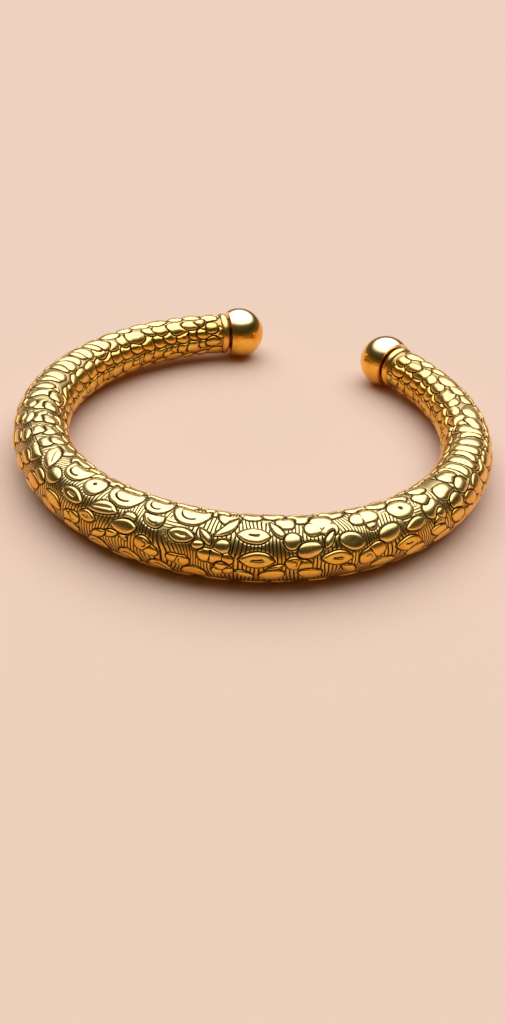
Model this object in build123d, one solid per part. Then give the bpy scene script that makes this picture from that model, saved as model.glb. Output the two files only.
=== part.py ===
"""Open bangle bracelet: a tapered chased tube bent to the wrist, with a hollow ball on each end.

The tube is one strip of sheet, rolled up and closed by a solder line along its wrist side. It is
filled with resin round a springy rod. Each mouth is shut by a plate and a plain collar, and a
threaded bush on the rod's end carries the ball, which is made of two domes.

The bangle lies flat, +Z up, as it rests on a table: on the belly of the tube and on both balls.
The opening faces +Y, and the bangle is the same on both sides of the plane X = 0.
The origin is under the middle of its box. Sizes are in millimetres, angles in degrees.
"""

from build123d import *
import math
import os

# The centreline of one arm, from the middle of the front to the mouth: (radius, turn) of each arc.
FRONT_ARC = (33.5, 43.0)
SIDE_ARC = (32.5, 61.5)
BACK_ARC = (35.5, 43.0)

# Tube: its outer radius falls from the belly to the mouth, by a power of the way along the arm.
BELLY_RADIUS = 4.8
MOUTH_RADIUS = 3.6
TAPER_POWER = 1.1
SHEET = 0.5
SEAM_WIDTH = 0.3
SECTIONS_PER_ARM = 10

# Rod, plates and collars.
ROD_RADIUS = 1.25
PLATE_THICKNESS = 0.6
COLLAR_WIDTH = 1.3
COLLAR_SECTION = 0.9
COLLAR_ROUND = 0.35

# Balls: a sphere with a flat base, set a little off the collar by the bush's shoulder.
BALL_RADIUS = 4.4
BALL_WALL = 0.45
BASE_TO_CENTRE = 2.07
BASE_EDGE_ROUND = 0.15
GROOVE_WIDTH = 0.35
BUSH_RADIUS = 1.9
BUSH_INSIDE_BALL = 1.0
ROD_SHORT_OF_BUSH = 0.3

# Clearance between round pieces that are soldered, screwed or cast together, and the gap the
# resin leaves behind each end plate as it sets.
BOND_GAP = 0.02
SHRINKAGE = 0.1

UP = Vector(0, 0, 1)
RIGHT, LEFT = 1, -1
SIDES = {"left": LEFT, "right": RIGHT}

BASE_PLANE = COLLAR_WIDTH + GROOVE_WIDTH
BALL_CENTRE = BASE_PLANE + BASE_TO_CENTRE
BUSH_END = BASE_PLANE + BALL_WALL + BUSH_INSIDE_BALL
ROD_END = BUSH_END - ROD_SHORT_OF_BUSH


def arm_arcs():
    """The right arm's three tangent arcs, from the middle of the front to the mouth."""
    arcs = []
    point, heading = Vector(0, 0, 0), Vector(1, 0, 0)
    for radius, turn in (FRONT_ARC, SIDE_ARC, BACK_ARC):
        arc = JernArc(point, heading, radius, turn)
        arcs.append(arc)
        point, heading = arc @ 1, arc % 1
    return arcs


ARCS = arm_arcs()
ARM = Wire([arc.edge() for arc in ARCS])
ARM_LENGTH = ARM.length


def station(side, along):
    """The point and outward tangent of an arm's centreline, at a length along it from the front.

    Past the mouth the line runs on straight.
    """
    share = min(along / ARM_LENGTH, 1.0)
    beyond = max(along - ARM_LENGTH, 0.0)
    tangent = ARM % share
    point = ARM @ share + tangent * beyond
    return Vector(side * point.X, point.Y, 0), Vector(side * tangent.X, tangent.Y, 0)


def outer_radius(along):
    """The tube's outer radius at a length along an arm from the front."""
    share = min(along / ARM_LENGTH, 1.0)
    return BELLY_RADIUS - (BELLY_RADIUS - MOUTH_RADIUS) * share**TAPER_POWER


def cross_plane(side, along):
    """The plane square to the centreline, with its normal running from the left mouth to the right."""
    point, tangent = station(side, along)
    return Plane(origin=point, x_dir=UP, z_dir=tangent * side)


def lofted(skin, hollow=None, short=0.0):
    """A tapered solid along the whole centreline.

    skin and hollow are how far the outer and inner walls lie inside the tube's outer surface.
    short is how far the solid stops before each mouth.
    """
    reach = ARM_LENGTH - short
    steps = range(-SECTIONS_PER_ARM, SECTIONS_PER_ARM + 1)
    sections = []
    for step in steps:
        side = LEFT if step < 0 else RIGHT
        along = reach * abs(step) / SECTIONS_PER_ARM
        disc = Circle(outer_radius(along) - skin)
        if hollow is not None:
            disc -= Circle(outer_radius(along) - hollow)
        sections.append(cross_plane(side, along) * disc)
    return loft(sections)


def swept(profile, beyond=0.0):
    """A constant profile carried along the whole centreline, and straight on past each mouth."""
    edges = [arc.edge() for arc in ARCS]
    if beyond:
        mouth, _ = station(RIGHT, ARM_LENGTH)
        tip, _ = station(RIGHT, ARM_LENGTH + beyond)
        edges.append(Line(mouth, tip).edge())
    path = Wire(edges + [edge.mirror(Plane.YZ) for edge in edges])
    start = Plane(origin=path @ 0, x_dir=UP, z_dir=path % 0)
    return sweep(start * profile, path=path)


def wrist_slab(thickness):
    """A flat slab in the bangle's plane, filling the inside of the centreline up to the two mouths."""
    edges = [arc.edge() for arc in ARCS]
    right_mouth, _ = station(RIGHT, ARM_LENGTH)
    left_mouth, _ = station(LEFT, ARM_LENGTH)
    across = Line(right_mouth, left_mouth).edge()
    inside = make_face(edges + [across] + [edge.mirror(Plane.YZ) for edge in edges])
    return extrude(inside, amount=thickness / 2, dir=(0, 0, 1), both=True)


def ring(outer, inner, length, start):
    """A plain ring about the terminal's axis, from start outwards."""
    body = Cylinder(outer, length, align=(Align.CENTER, Align.CENTER, Align.MIN))
    bore = Cylinder(inner, length, align=(Align.CENTER, Align.CENTER, Align.MIN))
    return Pos(0, 0, start) * (body - bore)


def end_plate():
    """The disc inside the mouth that holds the resin in."""
    radius = MOUTH_RADIUS - SHEET - BOND_GAP
    return ring(radius, ROD_RADIUS + BOND_GAP, PLATE_THICKNESS, -PLATE_THICKNESS)


def collar_ring():
    """The plain ring of half-round wire on the mouth."""
    body = ring(MOUTH_RADIUS, MOUTH_RADIUS - COLLAR_SECTION, COLLAR_WIDTH, 0)
    rims = body.edges().filter_by(GeomType.CIRCLE).group_by(SortBy.RADIUS)[-1]
    return fillet(rims, COLLAR_ROUND)


def neck_bush():
    """The threaded bush: its shoulder fills the collar, and its spigot enters the ball."""
    shoulder = MOUTH_RADIUS - COLLAR_SECTION - BOND_GAP
    thread = ROD_RADIUS + BOND_GAP
    return ring(shoulder, thread, BASE_PLANE, 0) + ring(
        BUSH_RADIUS, thread, BUSH_END - BASE_PLANE, BASE_PLANE
    )


def ball_shell():
    """The whole hollow ball, with its flat base and the hole for the bush."""
    centre = Pos(0, 0, BALL_CENTRE)
    outside = split(centre * Sphere(BALL_RADIUS), Plane((0, 0, BASE_PLANE)), keep=Keep.TOP)
    inner_floor = Plane((0, 0, BASE_PLANE + BALL_WALL))
    inside = split(centre * Sphere(BALL_RADIUS - BALL_WALL), inner_floor, keep=Keep.TOP)
    rim = outside.edges().filter_by(GeomType.CIRCLE).sort_by(Axis.Z)[0]
    outside = fillet(rim, BASE_EDGE_ROUND)
    hole = Pos(0, 0, BASE_PLANE) * Cylinder(BUSH_RADIUS + BOND_GAP, BALL_RADIUS)
    return outside - inside - hole


def terminal_pieces():
    """The pieces of one end, about the local Z axis, with the mouth at Z = 0."""
    ball = ball_shell()
    equator = Plane((0, 0, BALL_CENTRE))
    return {
        "end_plate": end_plate(),
        "collar_ring": collar_ring(),
        "neck_bush": neck_bush(),
        "ball_base_dome": split(ball, equator, keep=Keep.BOTTOM),
        "ball_tip_dome": split(ball, equator, keep=Keep.TOP),
    }


def arm_pieces():
    """The pieces that run the whole way round."""
    tube = lofted(skin=0, hollow=SHEET)
    wall = lofted(skin=BOND_GAP, hollow=SHEET - BOND_GAP, short=BOND_GAP)
    rod = swept(Circle(ROD_RADIUS), beyond=ROD_END)
    rod_bed = swept(Circle(ROD_RADIUS + BOND_GAP))
    resin = lofted(skin=SHEET + BOND_GAP, short=PLATE_THICKNESS + SHRINKAGE)
    return {
        "chased_tube": tube - wrist_slab(SEAM_WIDTH),
        "seam_solder": wall & wrist_slab(SEAM_WIDTH - 2 * BOND_GAP),
        "resin_filling": resin - rod_bed,
        "core_rod": rod,
    }


def assembly():
    """Every piece by name, in the bangle's own flat plane."""
    pieces = arm_pieces()
    for name, piece in terminal_pieces().items():
        for side_name, side in SIDES.items():
            mouth, tangent = station(side, ARM_LENGTH)
            frame = Plane(origin=mouth, x_dir=UP, z_dir=tangent)
            pieces[f"{name}_{side_name}"] = frame.location * piece
    return pieces


def resting(pieces):
    """The pieces leaned back until belly and balls touch the table, with the origin under the box."""
    ball, _ = station(RIGHT, ARM_LENGTH + BALL_CENTRE)
    lean = math.degrees(math.asin((BELLY_RADIUS - BALL_RADIUS) / ball.Y))
    leaned = {name: Rot(X=-lean) * piece for name, piece in pieces.items()}
    box = Compound([solid for piece in leaned.values() for solid in piece.solids()]).bounding_box()
    middle = box.center()
    origin = Pos(-middle.X, -middle.Y, BELLY_RADIUS)
    return {name: origin * piece for name, piece in leaned.items()}


def write_parts():
    """Writes one STEP file for each piece."""
    os.makedirs("parts", exist_ok=True)
    for name, piece in resting(assembly()).items():
        export_step(piece, f"parts/{name}.step")


write_parts()
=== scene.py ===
"""Looks of the open bangle: a chased, gold-plated tube with a plain collar and a ball on each end.

Sizes in this file are in millimetres and degrees, and meshes are written in metres. The tube's
surface is a function of two parameters: the length along its centreline from the middle of the
front, and the angle round its section, 0 facing away from the wrist and 90 facing up.
"""

import logging
import math
from dataclasses import dataclass, field
from enum import Enum

import bpy
import numpy as np
from mathutils import Matrix, Vector


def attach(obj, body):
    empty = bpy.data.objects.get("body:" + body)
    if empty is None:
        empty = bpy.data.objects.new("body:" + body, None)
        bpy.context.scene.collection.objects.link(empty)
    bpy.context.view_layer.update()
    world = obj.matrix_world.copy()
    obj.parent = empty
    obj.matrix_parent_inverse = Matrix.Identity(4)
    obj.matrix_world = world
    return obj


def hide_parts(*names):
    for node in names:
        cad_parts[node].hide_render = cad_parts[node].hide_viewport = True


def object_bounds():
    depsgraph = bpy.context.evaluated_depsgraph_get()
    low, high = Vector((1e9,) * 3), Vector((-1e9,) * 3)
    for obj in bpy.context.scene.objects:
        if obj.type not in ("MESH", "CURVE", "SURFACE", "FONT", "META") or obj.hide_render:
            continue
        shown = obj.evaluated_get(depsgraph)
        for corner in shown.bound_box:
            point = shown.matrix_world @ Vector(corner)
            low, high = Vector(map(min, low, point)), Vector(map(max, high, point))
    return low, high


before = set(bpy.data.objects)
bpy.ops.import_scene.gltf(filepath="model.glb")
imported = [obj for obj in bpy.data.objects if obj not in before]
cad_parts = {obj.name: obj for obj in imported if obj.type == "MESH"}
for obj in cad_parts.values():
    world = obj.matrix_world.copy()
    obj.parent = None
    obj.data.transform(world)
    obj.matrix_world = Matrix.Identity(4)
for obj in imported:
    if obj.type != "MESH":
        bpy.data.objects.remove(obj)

Array = np.ndarray
LOG = logging.getLogger("bangle")
MM = 0.001
BODY = "root"
CAD_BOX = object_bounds()


class Side(Enum):
    """The two arms, seen from above with the gap at the top."""

    LEFT = -1
    RIGHT = 1

    @property
    def word(self) -> str:
        """The side's name as the pieces' names end with it."""
        return self.name.lower()


# ---------------------------------------------------------------- numbers on arrays


def smoothstep(low: float, high: float, value: Array) -> Array:
    """Rises from zero at low to one at high along an S-shaped cubic.

    Args:
        low: Where the rise starts.
        high: Where it ends.
        value: The numbers to map.

    Returns:
        The share, from zero to one.
    """
    share = np.clip((value - low) / (high - low), 0.0, 1.0)
    return share * share * (3.0 - 2.0 * share)


def bell(value: Array, width: float) -> Array:
    """A bell curve: one at zero, and fallen to 1/e at width either side."""
    return np.exp(-np.square(value / width))


def ellipse_distance(x: Array, y: Array, a: float, b: float) -> Array:
    """Signed distance to an ellipse, to first order: its level minus one, over the level's slope.

    Args:
        x: Coordinates along the first half-axis.
        y: Coordinates along the second.
        a: First half-axis.
        b: Second half-axis.

    Returns:
        Millimetres from the outline, negative inside.
    """
    level = np.hypot(x / a, y / b) + 1e-9
    slope = np.hypot(x / a**2, y / b**2) + 1e-9
    return (level - 1.0) * level / slope


def wander(along: Array, around: Array, size: float, girth: float, seed: int) -> Array:
    """Smooth noise on the tube: random numbers on a lattice, joined by S-shaped cubics.

    Args:
        along: Lengths along the centreline.
        around: Angles round the section, in radians. The noise closes on itself round the tube.
        size: The lattice's pitch.
        girth: The tube's girth.
        seed: Which noise.

    Returns:
        Numbers from minus one to one.
    """
    columns = max(round(girth / size), 3)
    u = (along - along.min()) / size
    v = (around / math.tau) % 1.0 * columns
    lattice = np.random.default_rng(seed).uniform(-1.0, 1.0, (int(u.max()) + 2, columns))
    i, j = np.floor(u).astype(int), np.floor(v).astype(int) % columns
    share_u, share_v = smoothstep(0, 1, u % 1.0), smoothstep(0, 1, v % 1.0)
    after = (j + 1) % columns
    low = lattice[i, j] * (1 - share_v) + lattice[i, after] * share_v
    high = lattice[i + 1, j] * (1 - share_v) + lattice[i + 1, after] * share_v
    return low * (1 - share_u) + high * share_u


def box_blur(field: Array, reach: int) -> Array:
    """The mean of each point's square neighbourhood, on a grid that closes on itself.

    Args:
        field: The grid.
        reach: How many points each way.

    Returns:
        The blurred grid.
    """
    shifts = range(-reach, reach + 1)
    rows = sum(np.roll(field, shift, axis=0) for shift in shifts) / len(shifts)
    return sum(np.roll(rows, shift, axis=1) for shift in shifts) / len(shifts)


# ---------------------------------------------------------------- meshes


@dataclass
class Surface:
    """A grid of points and what each point carries.

    Fields:
        points: Grid of points in the bangle's frame, rows by columns by three, in millimetres.
        normals: The surface's own normals on the same grid, or None to leave them to the mesh.
        marks: Named numbers on the same grid, for the material.
    """

    points: Array
    normals: Array | None = None
    marks: dict[str, Array] = field(default_factory=dict)

    def quads(self, closed_rows: bool, closed_columns: bool) -> Array:
        """The grid's faces: each point, the next down its column, and their two neighbours.

        Args:
            closed_rows: Whether the last row joins the first.
            closed_columns: Whether the last column joins the first.

        Returns:
            Vertex numbers, four to a face, turned so that row cross column faces out.
        """
        rows, columns = self.points.shape[:2]
        i = np.arange(rows if closed_rows else rows - 1)[:, None]
        j = np.arange(columns if closed_columns else columns - 1)[None, :]
        down, right = (i + 1) % rows, (j + 1) % columns
        corners = [i * columns + j, down * columns + j, down * columns + right, i * columns + right]
        return np.stack(np.broadcast_arrays(*corners), axis=-1).reshape(-1, 4)

    def piece(self, name: str, closed_rows: bool = False, closed_columns: bool = False,
              sharp_at: float | None = None) -> bpy.types.Object:
        """Puts the grid into a smooth-shaded mesh object at the origin.

        Args:
            name: The piece's name.
            closed_rows: Whether the last row joins the first.
            closed_columns: Whether the last column joins the first.
            sharp_at: Edges that turn more than this many degrees are left sharp.

        Returns:
            The new object, riding on the bangle's body.
        """
        quads = self.quads(closed_rows, closed_columns)
        mesh = bpy.data.meshes.new(name)
        mesh.vertices.add(self.points.size // 3)
        mesh.vertices.foreach_set("co", (self.points * MM).astype(np.float32).ravel())
        mesh.loops.add(quads.size)
        mesh.loops.foreach_set("vertex_index", quads.astype(np.int32).ravel())
        mesh.polygons.add(len(quads))
        mesh.polygons.foreach_set("loop_start", np.arange(0, quads.size, 4, dtype=np.int32))
        mesh.update(calc_edges=True)
        mesh.shade_smooth()
        for mark, values in self.marks.items():
            layer = mesh.attributes.new(mark, "FLOAT", "POINT")
            layer.data.foreach_set("value", values.astype(np.float32).ravel())
        if sharp_at is not None:
            mesh.set_sharp_from_angle(angle=math.radians(sharp_at))
        if self.normals is not None:
            mesh.normals_split_custom_set_from_vertices(self.normals.reshape(-1, 3).tolist())
        thing = bpy.data.objects.new(name, mesh)
        bpy.context.scene.collection.objects.link(thing)
        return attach(thing, BODY) or thing


# ---------------------------------------------------------------- the bangle's line


@dataclass(frozen=True)
class Terminal:
    """Sizes of one end, measured outwards from the tube's mouth along its own line.

    Fields:
        collar_width: Width of the collar ring.
        collar_section: From the ring's outside to its bore.
        collar_bow: How far the ring's outside bows out.
        groove: Width of the dark groove between collar and ball.
        ball_radius: Outside of the ball.
        ball_wall: Thickness of its sheet.
        base_to_centre: From the ball's flat base to its middle.
        base_round: How far the base's edge is softened.
        bush_radius: Outside of the bush in the ball.
        bush_inside_ball: How far the bush reaches past the ball's sheet.
        rod_radius: The rod that the bush is screwed on.
        gap: Clearance between pieces that are soldered or screwed together.
    """

    collar_width: float = 1.3
    collar_section: float = 0.9
    collar_bow: float = 0.45
    groove: float = 0.35
    ball_radius: float = 4.4
    ball_wall: float = 0.45
    base_to_centre: float = 2.07
    base_round: float = 0.15
    bush_radius: float = 1.9
    bush_inside_ball: float = 1.0
    rod_radius: float = 1.25
    gap: float = 0.02

    @property
    def base(self) -> float:
        """The plane of the ball's flat base."""
        return self.collar_width + self.groove

    @property
    def centre(self) -> float:
        """The ball's centre."""
        return self.base + self.base_to_centre


@dataclass(frozen=True)
class Centreline:
    """The tube's centreline and girth, and how the bangle leans on the table.

    The outer radius falls from the belly to the mouth by a power of the way along the arm.

    Fields:
        arcs: The three tangent arcs of each arm, as radius and turn in degrees.
        belly_radius: Outer radius in the middle of the front.
        mouth_radius: Outer radius at both mouths.
        taper_power: The power by which it falls.
        terminal: The sizes of each end.
    """

    arcs: tuple[tuple[float, float], ...] = ((33.5, 43.0), (32.5, 61.5), (35.5, 43.0))
    belly_radius: float = 4.8
    mouth_radius: float = 3.6
    taper_power: float = 1.1
    terminal: Terminal = Terminal()

    @property
    def arm(self) -> float:
        """The length of one arm, from the middle of the front to the mouth."""
        return sum(radius * math.radians(turn) for radius, turn in self.arcs)

    def radius(self, along: Array | float) -> Array | float:
        """The tube's outer radius at a length along the line."""
        share = np.clip(np.abs(along) / self.arm, 0.0, 1.0)
        return self.belly_radius - (self.belly_radius - self.mouth_radius) * share**self.taper_power

    def plan(self, along: Array) -> tuple[Array, Array, Array]:
        """Position and heading in plan: on each arc, the centre plus the radius turned by the heading.

        Args:
            along: Lengths along the line, negative on the left arm. Past the mouth it runs straight.

        Returns:
            x, y and the heading in radians, with the front's middle at zero.
        """
        reach = np.abs(along)
        x, y, heading = np.zeros_like(reach), np.zeros_like(reach), np.zeros_like(reach)
        start, at_x, at_y, turned = 0.0, 0.0, 0.0, 0.0
        for radius, turn in self.arcs:
            here = np.clip((reach - start) / radius, 0.0, math.radians(turn)) + turned
            on_arc = reach >= start
            x = np.where(on_arc, at_x + radius * (np.sin(here) - math.sin(turned)), x)
            y = np.where(on_arc, at_y - radius * (np.cos(here) - math.cos(turned)), y)
            heading = np.where(on_arc, here, heading)
            end = turned + math.radians(turn)
            at_x += radius * (math.sin(end) - math.sin(turned))
            at_y -= radius * (math.cos(end) - math.cos(turned))
            start, turned = start + radius * math.radians(turn), end
        beyond = np.maximum(reach - self.arm, 0.0)
        x, y = x + beyond * np.cos(heading), y + beyond * np.sin(heading)
        side = np.where(along < 0, -1.0, 1.0)
        return side * x, y, side * heading

    @property
    def lean(self) -> float:
        """How far the plane of the line leans back, so that the belly and both balls touch down."""
        _, ball_y, _ = self.plan(np.array([self.arm + self.terminal.centre]))
        return math.asin((self.belly_radius - self.terminal.ball_radius) / float(ball_y[0]))

    def seat(self, local: Array) -> Array:
        """Turns points of the flat line by the lean, and moves them to the CAD model's place.

        Args:
            local: Points with the belly's centre at zero, on the last axis.

        Returns:
            The points in the frame, in millimetres.
        """
        moved = self.turn(local)
        moved[..., 1] += CAD_BOX[0].y / MM + self.belly_radius
        moved[..., 2] += self.belly_radius
        return moved

    def turn(self, local: Array) -> Array:
        """The same turn for directions."""
        turned = np.array(local, dtype=float)
        cosine, sine = math.cos(self.lean), math.sin(self.lean)
        turned[..., 1] = cosine * local[..., 1] + sine * local[..., 2]
        turned[..., 2] = cosine * local[..., 2] - sine * local[..., 1]
        return turned

    def wall(self, along: Array, around: Array, radius: Array) -> Array:
        """Points round the line: outwards by the cosine of the angle, and up by its sine.

        Args:
            along: Lengths along the line, as a grid.
            around: Angles round the section in radians, as a grid.
            radius: Distance from the line at each grid point.

        Returns:
            Points in the frame, on the last axis.
        """
        x, y, heading = self.plan(along)
        out = radius * np.cos(around)
        up = radius * np.sin(around)
        return self.seat(np.stack([x + out * np.sin(heading), y - out * np.cos(heading), up], axis=-1))

    def revolved(self, side: Side, profile: Array, steps: int) -> Surface:
        """Turns a profile round the line where it runs straight out of a mouth.

        Args:
            side: Which arm.
            profile: Points of (distance past the mouth, distance from the line).
            steps: Points round the full turn.

        Returns:
            A grid with the profile along its rows and the turn along its columns.
        """
        angles = np.linspace(0.0, math.tau, steps, endpoint=False)
        past = np.repeat(profile[:, :1], steps, axis=1) * side.value
        out = np.repeat(profile[:, 1:], steps, axis=1)
        around = np.broadcast_to(angles, out.shape)
        return Surface(self.wall(side.value * self.arm + past, around, out))


LINE = Centreline()


# ---------------------------------------------------------------- the chased pattern


@dataclass(frozen=True)
class Stamp:
    """What one motif does to the sheet round it.

    Fields:
        distance: Millimetres from the motif's outline, negative inside.
        top: Height of its top without the rounded side, one at the highest.
        crease: Lines chased into it, from zero to one.
    """

    distance: Array
    top: Array
    crease: Array


@dataclass(frozen=True)
class Motif:
    """A raised oval boss, and the base of the other motifs.

    Fields:
        length: Size along the motif's own x.
        width: Size across it.
        dish: Whether its top is domed, 0, or dished, 1.
        mark: Depth of its creases, from zero to one.
        edge: How far in from the outline its side is rounded.
        dome: How much of its height the dome or dish takes up.
    """

    length: float
    width: float
    dish: float = 0.0
    mark: float = 0.0
    edge: float = 0.5
    dome: float = 0.35

    def bent(self, x: Array, y: Array) -> tuple[Array, Array]:
        """The motif's coordinates before its line is straightened."""
        return x, y

    def outline(self, x: Array, y: Array) -> Array:
        """Signed distance to the outline, here an ellipse."""
        return ellipse_distance(x, y, self.length / 2, self.width / 2)

    def crown(self, x: Array, y: Array) -> Array:
        """How near the top a point is: its depth inside the outline, over nearly half the width."""
        return np.clip(-self.outline(x, y) / (0.45 * self.width), 0, 1)

    def crease(self, x: Array, y: Array) -> Array:
        """Chased lines, here one punched dimple."""
        return bell(np.hypot(x, y), 0.16 * self.width)

    def stamp(self, x: Array, y: Array) -> Stamp:
        """The motif's mark, with its top domed or dished.

        Args:
            x: Coordinates along the motif.
            y: Coordinates across it.

        Returns:
            The stamp on the same grid.
        """
        x, y = self.bent(x, y)
        crown = smoothstep(0, 1, self.crown(x, y))
        top = 1 - self.dome * ((1 - self.dish) * (1 - crown) + self.dish * crown)
        return Stamp(self.outline(x, y), top, self.mark * self.crease(x, y))


@dataclass(frozen=True)
class Leaf(Motif):
    """An almond leaf: the overlap of two circles, with points at both ends and a dart in the middle.

    Fields:
        curl: How its line bends, in mm per square mm.
        dart: The dart's length, as a share of the leaf's.
    """

    curl: float = 0.0
    dart: float = 0.3

    def bent(self, x: Array, y: Array) -> tuple[Array, Array]:
        """Lifts y by the square of x, which bends the leaf's line."""
        return x, y - self.curl * (np.square(x) - 0.1 * self.length**2)

    def outline(self, x: Array, y: Array) -> Array:
        """Distance to two arcs through both points, and past them to the nearer point."""
        a, b = self.length / 2, self.width / 2
        radius = (a * a + b * b) / (2 * b)
        offset = radius - b
        across, aside = np.abs(x), np.abs(y)
        past_point = (across - a) * offset > aside * a
        to_arc = np.hypot(across, aside + offset) - radius
        return np.where(past_point, np.hypot(across - a, aside), to_arc)

    def crease(self, x: Array, y: Array) -> Array:
        """The dart: a slightly bent line along the leaf, 0.13 mm to 0.21 mm wide from end to end."""
        along = x / (self.dart * self.length)
        width = 0.13 + 0.08 * np.clip(0.5 + along, 0, 1)
        return bell(y - 0.1 * np.abs(x), width) * (1 - smoothstep(0.4, 0.75, np.abs(along)))


@dataclass(frozen=True)
class Cluster(Motif):
    """Round lobes run together, with a short crease wherever two of them meet.

    The lobes give the shape. Length and width only say how far it reaches.

    Fields:
        lobes: Each lobe's x, y and radius.
        soft: How far the outline is rounded where two lobes meet.
        hook: Depth of the half-ring chased round the first lobe's middle.
    """

    lobes: tuple[tuple[float, float, float], ...] = ((0.0, 0.0, 1.0),)
    soft: float = 0.1
    hook: float = 0.0

    def lobe_distances(self, x: Array, y: Array) -> Array:
        """Distance to each lobe's circle."""
        return np.stack([np.hypot(x - at_x, y - at_y) - radius for at_x, at_y, radius in self.lobes])

    def outline(self, x: Array, y: Array) -> Array:
        """The lobes' distances joined by an exponential smooth minimum."""
        return -self.soft * np.log(np.exp(-self.lobe_distances(x, y) / self.soft).sum(axis=0) + 1e-30)

    def crown(self, x: Array, y: Array) -> Array:
        """The depth inside the outline, over most of the largest lobe's radius."""
        return np.clip(-self.outline(x, y) / (0.8 * max(lobe[2] for lobe in self.lobes)), 0, 1)

    def crease(self, x: Array, y: Array) -> Array:
        """Lines where two lobes are equally near, fading inwards, and a half-ring round the first lobe."""
        nearest, second = np.sort(self.lobe_distances(x, y), axis=0)[:2]
        between = bell(second - nearest, 0.2) * smoothstep(-0.75, -0.25, nearest)
        at_x, at_y, radius = self.lobes[0]
        ring = bell(np.hypot(x - at_x, y - at_y) - 0.45 * radius, 0.15)
        return np.maximum(between, self.hook * ring * smoothstep(-0.2, 0.3, x - at_x + 0.5 * (y - at_y)))


@dataclass(frozen=True)
class HalfMoon(Motif):
    """Half of an oval, open towards the wrist, with an arc chased inside its rim.

    The whole oval is twice as wide as the motif's width.

    Fields:
        lid: How far past the middle its open side lies.
        rim: How far inside the outline the arc lies.
    """

    lid: float = 0.5
    rim: float = 0.8

    def outline(self, x: Array, y: Array) -> Array:
        """The farther of the oval and a lid that is bowed by the square of x."""
        return np.maximum(self.oval(x, y), y - self.lid - 0.05 * x**2)

    def oval(self, x: Array, y: Array) -> Array:
        """Signed distance to the whole oval."""
        return ellipse_distance(x, y, self.length / 2, self.width)

    def crease(self, x: Array, y: Array) -> Array:
        """An arc inside the oval, heavier on one side and fading to its ends."""
        arc = bell(self.oval(x, y) + self.rim, 0.19)
        reach = np.abs(x / self.length + 0.06)
        return arc * (1 - smoothstep(0.18, 0.32, reach))


@dataclass(frozen=True)
class Cushion(Motif):
    """A soft-cornered block or rib.

    Fields:
        corner: The corners' radius.
        curl: How the rib bends along the tube, in mm per square mm.
    """

    corner: float = 0.8
    curl: float = 0.0

    def bent(self, x: Array, y: Array) -> tuple[Array, Array]:
        """Moves x by the square of y, which bows the rib."""
        return x - self.curl * np.square(y), y

    def outline(self, x: Array, y: Array) -> Array:
        """Distance to a rectangle with round corners."""
        from_x = np.abs(x) - self.length / 2 + self.corner
        from_y = np.abs(y) - self.width / 2 + self.corner
        outside = np.hypot(np.maximum(from_x, 0), np.maximum(from_y, 0))
        return outside + np.minimum(np.maximum(from_x, from_y), 0) - self.corner


@dataclass(frozen=True)
class Placing:
    """One motif, and how it is laid on the tube.

    Fields:
        motif: What is stamped.
        along: Its middle along the line.
        angle: Its middle round the section, in degrees.
        turn: How far its length is turned from the line, in degrees.
        size: How much larger than drawn.
    """

    motif: Motif
    along: float
    angle: float
    turn: float = 0.0
    size: float = 1.0


@dataclass(frozen=True)
class Row:
    """One row of motifs, marching out along both arms.

    Fields:
        angle: Where it lies round the section.
        motifs: What is stamped, over and over.
        pitch: Distance between two motifs where the tube is thickest.
        first: Where the row starts.
        last: Where it ends.
        shift: How far the right arm's first motif is moved. The left arm's is moved by the rest of
            the pitch.
        sway: How far a motif's turn varies, in degrees.
        swell: How much larger than drawn its motifs are.
    """

    angle: float
    motifs: tuple[Motif, ...]
    pitch: float
    first: float = 0.0
    last: float = 90.0
    shift: float = 0.0
    sway: float = 12.0
    swell: float = 1.04


GREAT_MOON = HalfMoon(5.0, 2.7, mark=0.9, rim=0.95)
MOON = HalfMoon(4.0, 2.4, mark=0.8, rim=0.75)
SMALL_MOON = HalfMoon(3.0, 1.7, mark=0.5, rim=0.55, lid=0.3)
SCALE = HalfMoon(3.6, 1.6, edge=0.4, lid=0.9, rim=0.5)
DISHED_LEAF = Leaf(4.1, 2.3, dish=0.8, mark=0.8)
SHORT_LEAF = Leaf(3.3, 2.0, dish=0.7, mark=0.7)
PLAIN_LEAF = Leaf(3.3, 1.9, dish=0.3, edge=0.4)
SLIM_LEAF = Leaf(2.9, 1.2, edge=0.35)
TWIG = Leaf(2.6, 0.75, edge=0.3)
CURVED_LEAF = Leaf(4.5, 1.9, dish=0.5, mark=0.7, curl=-0.09, dart=0.5)
LONG_LEAF = Leaf(4.8, 2.5, dish=0.3, mark=0.5, dart=0.5)
SWOOSH = Leaf(4.7, 1.35, curl=0.1, edge=0.4)
OVAL = Motif(3.1, 2.2)
DISHED_OVAL = Motif(3.2, 2.3, dish=0.7, mark=0.4)
ROUND = Motif(2.7, 2.6)
GREAT_ROUND = Motif(3.9, 3.5, mark=0.8, edge=0.8)
BEAD = Motif(1.7, 1.4, edge=0.4)
BEAN = Cluster(
    3.1, 2.2, mark=0.8, soft=0.2, hook=0.9,
    lobes=((-0.55, 0.0, 1.05), (0.85, -0.15, 0.85)),
)
GREAT_BEAN = Cluster(
    3.6, 2.6, mark=0.8, soft=0.3, hook=0.8,
    lobes=((-0.75, -0.1, 1.2), (0.85, 0.2, 1.1)),
)
BLOSSOM = Cluster(
    4.0, 3.6, mark=0.9, soft=0.2,
    lobes=(
        (-1.35, -0.3, 0.9), (0.55, 1.05, 0.95), (0.0, -0.45, 1.05), (1.15, -0.55, 0.85), (0.35, -1.5, 0.7),
    ),
)
TREFOIL = Cluster(
    3.2, 2.8, mark=0.9, soft=0.2,
    lobes=((-0.85, -0.2, 0.9), (0.75, -0.35, 0.85), (0.05, 0.8, 0.9)),
)
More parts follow.
